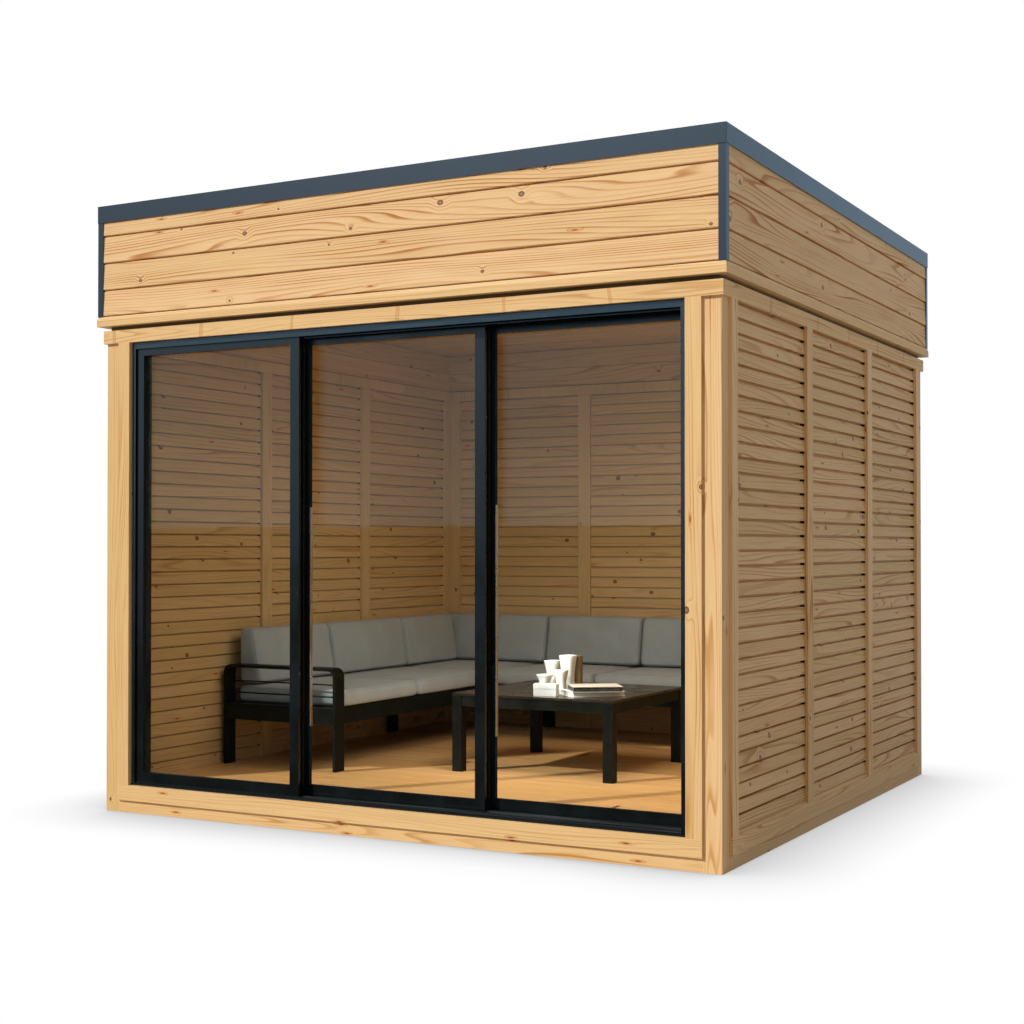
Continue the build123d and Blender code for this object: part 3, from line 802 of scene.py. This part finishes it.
def settle(piece, goals, low, high):
    """Move the points towards their goals: each side swells as far as its CAD solid has room, and its
    edges draw in no further than the tuck."""
    middle = (low + high) / 2
    verts = piece.data.vertices
    for axis in range(3):
        for side in (-1, 1):
            mine = [index for index, vert in enumerate(verts) if (vert.co[axis] - middle[axis]) * side > 0]
            steps = [(goals[index][axis] - verts[index].co[axis]) * side for index in mine]
            edge = max(verts[index].co[axis] * side for index in mine)
            room = max((high if side > 0 else low)[axis] * side - PAD_GAP - edge, 0.0)
            swell = min(1.0, room / max(max(steps), 1e-6))
            tuck = min(1.0, PAD_TUCK / max(-min(steps), 1e-6))
            for index, step in zip(mine, steps):
                verts[index].co[axis] += side * step * (swell if step > 0 else tuck)


def finish_cushion(piece, low, high, room_side):
    """Seam distances, smooth faces and one subdivision."""
    mesh = piece.data
    upright = high.z - low.z > 0.2
    near = max(low.dot(room_side), high.dot(room_side))
    values = []
    for vert in mesh.vertices:
        rise = (vert.co.z - low.z) / (high.z - low.z)
        depth = near - vert.co.dot(room_side) - BACK_LEAN * rise if upright else high.z - vert.co.z
        values.append(depth - SEAM_DROP)
    seam = mesh.attributes.new("seam", "FLOAT", "POINT")
    seam.data.foreach_set("value", values)
    mesh.shade_smooth()
    piece.modifiers.new("subdivision", "SUBSURF").render_levels = 1


def cushions(material):
    """Every cushion of the sofa, padded inside its CAD solid."""
    jobs = []
    for node in ("seat_cushions", "back_cushions"):
        is_back = node == "back_cushions"
        for number, group in enumerate(islands(node), start=1):
            low, high = extent(group)
            along_left = is_back and high.y - low.y > high.x - low.x
            room_side = Vector((1.0, 0.0, 0.0)) if along_left else Vector((0.0, -1.0, 0.0))
            name = f"{node[:-1]}_{number}"
            block = padded_block(name, low, high, room_side, BACK_LEAN if is_back else 0.0)
            piece = new_piece(name, block, [])
            remeshed(piece)
            piece.data.materials.clear()
            piece.data.materials.append(material)
            jobs.append((piece, node, low, high, room_side))
    swollen = inflate([job[0] for job in jobs])
    for (piece, _, low, high, _), goals in zip(jobs, swollen):
        settle(piece, goals, low, high)
    for piece, node, low, high, room_side in jobs:
        finish_cushion(piece, low, high, room_side)
        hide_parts(node)


# ---- things on the table ----
CUP_AROUND = 24
CUP_STEPS = 7
CUP_CORNER = 7
CUP_WALL = 0.006
BOOK_BOARD = 0.0022
BOOK_LIP = 0.0035
BOOK_SHEETS = 9


def flared_cup(name, points, material):
    """A square ceramic cup with rounded corners, waisted low down, its rim flared, hollow inside."""
    low, high = extent(points)
    centre = (low + high) / 2
    tall = high.z - low.z
    rim = (high.x - low.x) / 2
    foot = max(abs(p.x - centre.x) for p in points if p.z < low.z + 0.001)
    waist = foot - 0.003
    flare = [(step / CUP_STEPS, waist + (rim - waist) * (step / CUP_STEPS) ** 1.6)
             for step in range(CUP_STEPS + 1)]
    # Rings as (half width, share of the height): up the outside, over the rim and down the inside.
    levels = [(foot - 0.001, 0.0), (foot, 0.02), (foot, 0.05)]
    levels += [(half, 0.30 + 0.69 * share) for share, half in flare]
    levels += [(rim - 0.0012, 1.0), (rim - 0.0035, 1.0), (rim - 0.005, 0.985)]
    levels += [(half - CUP_WALL, 0.30 + 0.66 * share) for share, half in reversed(flare[2:])]
    verts = []
    for half, share in levels:
        for index in range(CUP_AROUND):
            angle = 2 * math.pi * (index + 0.5) / CUP_AROUND
            cosine, sine = math.cos(angle), math.sin(angle)
            squareness = (abs(cosine) ** CUP_CORNER + abs(sine) ** CUP_CORNER) ** (-1 / CUP_CORNER)
            reach = min(squareness, 1.35) * half
            verts.append((centre.x + cosine * reach, centre.y + sine * reach, low.z + share * tall))
    faces = []
    for ring in range(len(levels) - 1):
        base = ring * CUP_AROUND
        for index in range(CUP_AROUND):
            after = (index + 1) % CUP_AROUND
            faces.append((base + index, base + after, base + CUP_AROUND + after, base + CUP_AROUND + index))
    last = (len(levels) - 1) * CUP_AROUND
    faces.append(tuple(reversed(range(CUP_AROUND))))
    faces.append(tuple(range(last, last + CUP_AROUND)))
    mesh = bpy.data.meshes.new(name)
    mesh.from_pydata(verts, [], faces)
    face_outwards(mesh)
    mesh.shade_smooth()
    return new_piece(name, mesh, [material])


def turned_frame(points):
    """The low corner, the two level edges and the height of a box that is turned about Z."""
    low_z = min(p.z for p in points)
    base = [p for p in points if p.z < low_z + 0.0005]
    corner = min(base, key=lambda p: (round(p.y, 5), p.x))
    others = sorted((p - corner for p in base if (p - corner).length > 0.001), key=lambda v: v.length)
    back, right = sorted(others[:2], key=lambda v: v.x)
    height = max(p.z for p in points) - low_z
    return corner, right, back, height


def slab(work, frame_of, along, across, up, material=0):
    """A box in a turned frame, its ranges in metres along the two level edges and upwards."""
    corner, right, back, _ = frame_of
    along_unit = right.normalized()
    across_unit = back.normalized()
    (a0, a1), (b0, b1) = along, across
    verts = [work.verts.new(corner + along_unit * a + across_unit * b + Vector((0, 0, z)))
             for z in up for a, b in ((a0, b0), (a1, b0), (a1, b1), (a0, b1))]
    for quad in ((3, 2, 1, 0), (4, 5, 6, 7), (0, 1, 5, 4), (1, 2, 6, 5), (2, 3, 7, 6), (3, 0, 4, 7)):
        face = work.faces.new([verts[i] for i in quad])
        face.material_index = material


def book(name, points, materials):
    """Two cover boards and a spine round a block of pages."""
    frame_of = turned_frame(points)
    long, wide, tall = frame_of[1].length, frame_of[2].length, frame_of[3]
    inner_top = tall - BOOK_BOARD
    spine = wide - BOOK_BOARD
    work = bmesh.new()
    slab(work, frame_of, (0, long), (0, wide), (0, BOOK_BOARD))
    slab(work, frame_of, (0, long), (0, wide), (inner_top, tall))
    slab(work, frame_of, (0, long), (spine, wide), (BOOK_BOARD, inner_top))
    pitch = (tall - 2 * BOOK_BOARD) / BOOK_SHEETS
    for sheet in range(BOOK_SHEETS):
        edge = BOOK_LIP + 0.0006 * (sheet % 3)
        z = BOOK_BOARD + sheet * pitch
        slab(work, frame_of, (edge, long - edge), (edge, spine - 0.0002), (z, z + pitch * 0.94), 1)
    return bevelled_piece(name, work, materials, 0.0006)


def carton(name, points, material):
    """A folded card box with a lid that laps over it."""
    frame_of = turned_frame(points)
    long, wide, tall = frame_of[1].length, frame_of[2].length, frame_of[3]
    lap = 0.0012
    lid_foot = tall - 0.4 * tall
    work = bmesh.new()
    slab(work, frame_of, (lap, long - lap), (lap, wide - lap), (0, lid_foot))
    slab(work, frame_of, (0, long), (0, wide), (lid_foot, tall))
    return bevelled_piece(name, work, [material], 0.0008)


def wooden_block(name, points, material):
    low, high = extent(points)
    work = bmesh.new()
    slab(work, turned_frame(points), (0, high.x - low.x), (0, high.y - low.y), (0, high.z - low.z))
    return bevelled_piece(name, work, [material], 0.0015)


def widens(points):
    """Whether a solid is wider further up than at its foot."""
    low, high = extent(points)
    foot = max(p.x for p in points if p.z < low.z + 0.001)
    return high.x - foot > 0.002


def table_things():
    """The cups and the block, and the books with the carton between them."""
    glaze = plain("white_glaze", srgb(247, 245, 234), 0.25, mottle=0.02)
    # The block's greyed tan wood also stands in for the tallest cup's shaded side beside it: partly painted
    # shade.
    block_wood_cup_shade = wood("tan_block_cup_shade", grain_upright, light=srgb(158, 134, 98), dark=srgb(112, 90, 60), knots=0.0)
    card = plain("white_card", srgb(246, 244, 238), 0.6, mottle=0.02)
    pages = plain("pages", srgb(246, 243, 232), 0.8, mottle=0.06, scale=120.0)
    dark_pages = plain("dark_pages", srgb(96, 96, 94), 0.4, mottle=0.6, scale=60.0)
    beige_cover = plain("beige_cover", srgb(226, 214, 194), 0.5, mottle=0.06)
    for number, points in enumerate(islands("table_ornaments"), start=1):
        if widens(points):
            piece = flared_cup(f"flared_cup_{number}", points, glaze)
        else:
            piece = wooden_block("tan_block_cup_shade", points, block_wood_cup_shade)
        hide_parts("table_ornaments")
    stack = sorted(islands("books"), key=lambda group: (extent(group)[0].z, -extent(group)[1].x))
    lower, box, upper = stack
    papers = [book("lower_book", lower, [card, pages]), carton("white_carton", box, card),
              book("upper_book", upper, [beige_cover, dark_pages])]
    for piece in papers:
        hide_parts("books")


# ---- camera, lamps and stage ----
def make_camera():
    data = bpy.data.cameras.new("camera")
    data.lens = CAMERA_LENS
    data.sensor_width = CAMERA_SENSOR
    data.shift_y = CAMERA_SHIFT
    camera = add_object("camera", data)
    camera.location = CAMERA_PLACE
    camera.rotation_euler = (math.pi / 2 + CAMERA_TILT, 0.0, CAMERA_TURN)
    bpy.context.scene.camera = camera


def hide_from(item, *rays):
    for ray in rays:
        setattr(item, f"visible_{ray}", False)


def hidden_lamp(name, place, tilt, size, power, colour):
    """A rectangular lamp that no camera ray, reflection or pane shows, tilted up from straight down."""
    data = bpy.data.lights.new(name, "AREA")
    data.shape = "RECTANGLE"
    data.size, data.size_y = size
    data.energy = power
    data.color = colour
    lamp = add_object(name, data)
    lamp.location = place
    lamp.rotation_euler = (math.radians(tilt), 0.0, 0.0)
    hide_from(lamp, "camera", "glossy", "transmission")


def make_lamps():
    """The sun, and hidden lamps for the room, its floor and the things on the table."""
    sun = bpy.data.lights.new("sun", "SUN")
    sun.energy = SUN_STRENGTH
    sun.angle = SUN_SIZE
    sun.color = SUN_COLOUR
    level = math.cos(SUN_HEIGHT)
    towards = Vector((math.cos(SUN_FROM) * level, math.sin(SUN_FROM) * level, math.sin(SUN_HEIGHT)))
    add_object("sun", sun).rotation_euler = towards.to_track_quat("Z", "Y").to_euler()

    door_y = lining_low.y + 0.02
    hidden_lamp("room_fill", place=(0.4, door_y, 1.05), tilt=74, size=(1.7, 1.4), power=ROOM_FILL,
                colour=(0.87, 1.0, 1.10))
    hidden_lamp("floor_fill", place=(0.85, door_y + 0.8, 2.3), tilt=0, size=(1.1, 1.4), power=FLOOR_FILL,
                colour=(1.0, 0.96, 0.88))
    low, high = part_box("table_ornaments")
    before_cups = ((low.x + high.x) / 2, low.y - 0.5, high.z + 0.3)
    hidden_lamp("table_fill", place=before_cups, tilt=55, size=(0.3, 0.2), power=TABLE_FILL,
                colour=(1.0, 1.0, 0.97))


def make_world():
    """A faint even sky that lights the pod, seen and mirrored as white."""
    graph = Graph("studio", "worlds", "ShaderNodeOutputWorld")
    ambient = graph.add("ShaderNodeBackground", {"Color": SKY_COLOUR, "Strength": AMBIENT})[0]
    white = graph.add("ShaderNodeBackground", {"Color": WHITE})[0]
    bpy.context.scene.world = graph.finish(graph.mix_shaders(graph.seen_rays(), ambient, white))


def plane(name, first, last, material):
    """A rectangle of the stage from corner to opposite corner, two of its edges along X."""
    (x0, y0, z0), (x1, y1, z1) = first, last
    mesh = bpy.data.meshes.new(name)
    mesh.from_pydata([first, (x1, y0, z0), last, (x0, y1, z1)], [], [(0, 1, 2, 3)])
    mesh.materials.append(material)
    piece = add_object(name, mesh)
    return piece


def make_floor():
    """A floor that is seen as white, with a contact shadow painted from ambient occlusion where the pod
    stands close.
    """
    graph = Graph("stage_white")
    lit = graph.add("ShaderNodeBsdfDiffuse", {"Color": (0.5, 0.5, 0.5, 1.0)})[0]
    near = graph.add("ShaderNodeAmbientOcclusion", {"Distance": SHADOW_REACH}, samples=24)["AO"]
    strength = graph.times_plus(near, SHADOW_DEPTH, 1.0 - SHADOW_DEPTH)
    shown = graph.add("ShaderNodeEmission", {"Color": WHITE, "Strength": strength})[0]
    surface = graph.mix_shaders(graph.seen_rays(), lit, shown)
    reach = 150.0
    level = -0.0005
    plane("studio_floor", (-reach, -reach, level), (reach, reach, level), graph.finish(surface))


def make_flags():
    """Dark cards before the pod, which only reflections show: a dark ground up to a level horizon."""
    graph = Graph("stage_flag")
    dark = graph.add("ShaderNodeBsdfDiffuse", {"Color": (0.012, 0.013, 0.012, 1.0)})[0]
    flag = graph.finish(dark)
    near, far, left, right = -1.60, -30.0, -45.0, 25.0
    level, top = 0.002, 1.8
    lying = plane("studio_flag_low", (left, far, level), (right, near, level), flag)
    upright = plane("studio_flag_far", (left, far, 0.0), (right, far, top), flag)
    for card in (lying, upright):
        hide_from(card, "camera", "diffuse", "shadow", "transmission")


# ---- materials of the CAD nodes ----
DOOR_PAINT = (0.0062, 0.0070, 0.0062, 1.0)
REFLECTION_TINT = (0.42, 0.67, 0.86, 1.0)
# Black painted on the leaves' reveals beside the glass as their shade; the depth below is how far it runs
# in from the front.
REVEAL_SHADE_BLACK = (0.002, 0.002, 0.002, 1.0)
PULL_METAL = (0.62, 0.60, 0.55, 1.0)
WORN_DARK = (0.07, 0.072, 0.074, 1.0)
WORN_LIGHT = (0.17, 0.175, 0.18, 1.0)
LEAF_FACE = 0.050
REVEAL_SHADE_DEPTH = 0.021
PULL_LOW = 0.465
PULL_HIGH = 1.470


def within(graph, value, low, high):
    """1 between the limits, 0 outside them."""
    above = graph.math("GREATER_THAN", value, low)
    return graph.times(above, graph.math("LESS_THAN", value, high))


def sill_paint(name, low, high):
    """Door paint on the sill, worn to bare metal on its tracks."""
    graph = Graph(name)
    _, y, z = graph.split(graph.position())
    on_top = graph.math("GREATER_THAN", z, low.z + 0.009)
    track = graph.times(within(graph, y, low.y + 0.006, high.y - 0.006), on_top)
    along = graph.scaled(graph.position(), (2.0, 300.0, 300.0))
    streak = graph.noise(along, detail=2.0)
    bare = graph.mix(graph.ramp(streak, 0.35, 0.7), WORN_DARK, WORN_LIGHT)
    colour = graph.mix(track, DOOR_PAINT, bare)
    rough = graph.ramp(streak, 0.3, 0.7, 0.26, 0.36)
    return graph.principled(Base_Color=colour, Roughness=rough, Metallic=track, IOR=1.55,
                            Specular_Tint=REFLECTION_TINT)


def leaf_paint(name, corner, has_pull):
    """Door paint, with painted shade in black on the left stile's reveal beside the glass, and a bare metal
    finger pull.
    """
    graph = Graph(name)
    x, y, z = graph.split(graph.position())
    edge = corner.x + LEAF_FACE
    # The left stile's reveal beside the glass is painted black: painted shade of the reveal.
    in_front = graph.math("LESS_THAN", y, corner.y + REVEAL_SHADE_DEPTH)
    reveal_shade = graph.times(within(graph, x, edge - 0.0004, edge + 0.0004), in_front)
    pull = 0.0
    if has_pull:
        pull = graph.times(within(graph, x, edge + 0.0006, edge + 0.0035),
                          within(graph, z, PULL_LOW - 0.001, PULL_HIGH + 0.001))
    cloud = graph.noise(graph.position(), 5.0, 3.0)
    colour = graph.mix(graph.ramp(cloud, 0.35, 0.65), dimmed(DOOR_PAINT, 0.9), DOOR_PAINT)
    colour = graph.mix(reveal_shade, colour, REVEAL_SHADE_BLACK)
    colour = graph.mix(pull, colour, PULL_METAL)
    rough = graph.times_plus(reveal_shade, 0.6, graph.ramp(cloud, 0.3, 0.7, 0.2, 0.32))
    return graph.principled(Base_Color=colour, Roughness=rough, Metallic=pull, IOR=1.55,
                            Specular_Tint=REFLECTION_TINT)


def dress_frame():
    """Materials for the CAD nodes that stay as they are."""
    upright = wood("pine_upright", grain_upright, line=1.2, knots=0.28, smears=0.15)
    rails = wood("pine_rails", grain_ring, knots=0.1, smears=0.3)
    head = wood("pine_head_beams", grain_ring, knots=0.08, smears=0.2, spikes_apart=0.52)
    # The packers' dark olive wood is painted shade: they sit in the shadowed recess under the ledger.
    packers = wood("packers_painted_shade", grain_ring, light=srgb(112, 96, 58), dark=srgb(80, 68, 36))
    inner = wood("inner_upright", grain_upright, light=srgb(212, 181, 130), dark=srgb(172, 128, 70),
                 knots=0.2, line=0.5)
    sawn = wood("sawn_timber", grain_along_x, light=srgb(214, 178, 132), dark=srgb(170, 125, 80),
                roughness=0.8)
    capping = plain("capping_paint", (0.011, 0.0225, 0.036, 1.0), 0.4, mottle=0.02, scale=4.0, metallic=0.8,
                    tint=(0.5, 0.75, 1.0, 1.0), spread=0.01, ior=1.4, bump=0.0, coat=0.45)
    door = plain("door_paint", DOOR_PAINT, 0.26, mottle=0.08, scale=5.0, tint=(0.42, 0.72, 1.0, 1.0),
                 ior=1.74, bump=0.01)
    sofa = plain("sofa_black", srgb(26, 28, 23), 0.45, mottle=0.35, scale=14.0, bump=0.03, ior=1.22)
    table = plain("table_black", srgb(50, 43, 35), 0.24, mottle=0.2, scale=9.0, bump=0.01)
    foam = plain("foam_core", srgb(226, 216, 178), 0.9, scale=60.0, bump=0.3)
    rubber = plain("roof_rubber", srgb(48, 49, 50), 0.75, scale=3.0, bump=0.3)

    looks = (
        (upright, "corner_posts door_stiles left_wall_stiles right_wall_stiles back_wall_stiles"),
        (rails, "base_beams bottom_rails ledgers"),
        (head, "head_beams"),
        (packers, "roof_packers"),
        (inner, "lining_frames door_lining"),
        (sawn, "floor_joists roof_joists roof_deck"),
        (capping, "cappings corner_trims"),
        (door, "door_head door_jambs"),
        (sill_paint("door_sill_paint", *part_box("door_sill")), "door_sill"),
        (glass("door_glass"), "left_leaf_glass middle_leaf_glass right_leaf_glass"),
        (sofa, "sofa_bases sofa_arms sofa_legs table_frame"),
        (table, "table_top"),
        (foam, "wall_cores"),
        (rubber, "roof_membrane"),
    )
    for material, names in looks:
        paint_slots(names.split(), material)
    for name in ("left", "middle", "right"):
        node = f"{name}_leaf_frame"
        paint_slots([node], leaf_paint(f"{name}_leaf_paint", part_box(node)[0], name != "left"))


# ---- the scene ----
bpy.context.scene.view_settings.view_transform = "Standard"
make_camera()
make_lamps()
make_world()
make_floor()
make_flags()
dress_frame()
# Near black for the boxes at the grooves' ends: painted shade.
groove_end_painted_shade = plain("groove_end_painted_shade", srgb(16, 13, 10), 0.9)
kerb_rubber = plain("kerb_rubber", srgb(50, 51, 52), 0.75, scale=3.0, bump=0.3)
board_pine = wood("pine_boards", grain_attribute, light=srgb(241, 199, 141), dark=srgb(188, 120, 50),
                  line=1.3, knots=0.42, smears=0.22, spread=0.06)
inner_pine = wood("inner_boards", grain_attribute, light=srgb(212, 179, 126), dark=srgb(164, 117, 58),
                  line=0.75, knots=0.45, spread=0.06)
floor_pine = wood("floor_boards", grain_attribute, light=srgb(242, 188, 123), dark=srgb(206, 144, 76),
                  line=0.8, knots=0.3, smears=0.06, roughness=0.4, spread=0.05)
# The wall boards' darker, more olive tone is a shaded copy of the pine: painted shade of the side wall.
shaded_side_pine = wood("wall_boards", grain_attribute, light=srgb(232, 190, 131), dark=srgb(180, 121, 56),
                 line=0.95, knots=0.5, smears=0.2, spread=0.09)
outer_walls([shaded_side_pine, groove_end_painted_shade])
inner_walls([inner_pine, groove_end_painted_shade])
parapet([board_pine], kerb_rubber)
floor_boards(floor_pine)
room_box(inner_pine)
ceiling(inner_pine)
cushions(fabric("cushion_cover", srgb(173, 180, 179)))
table_things()
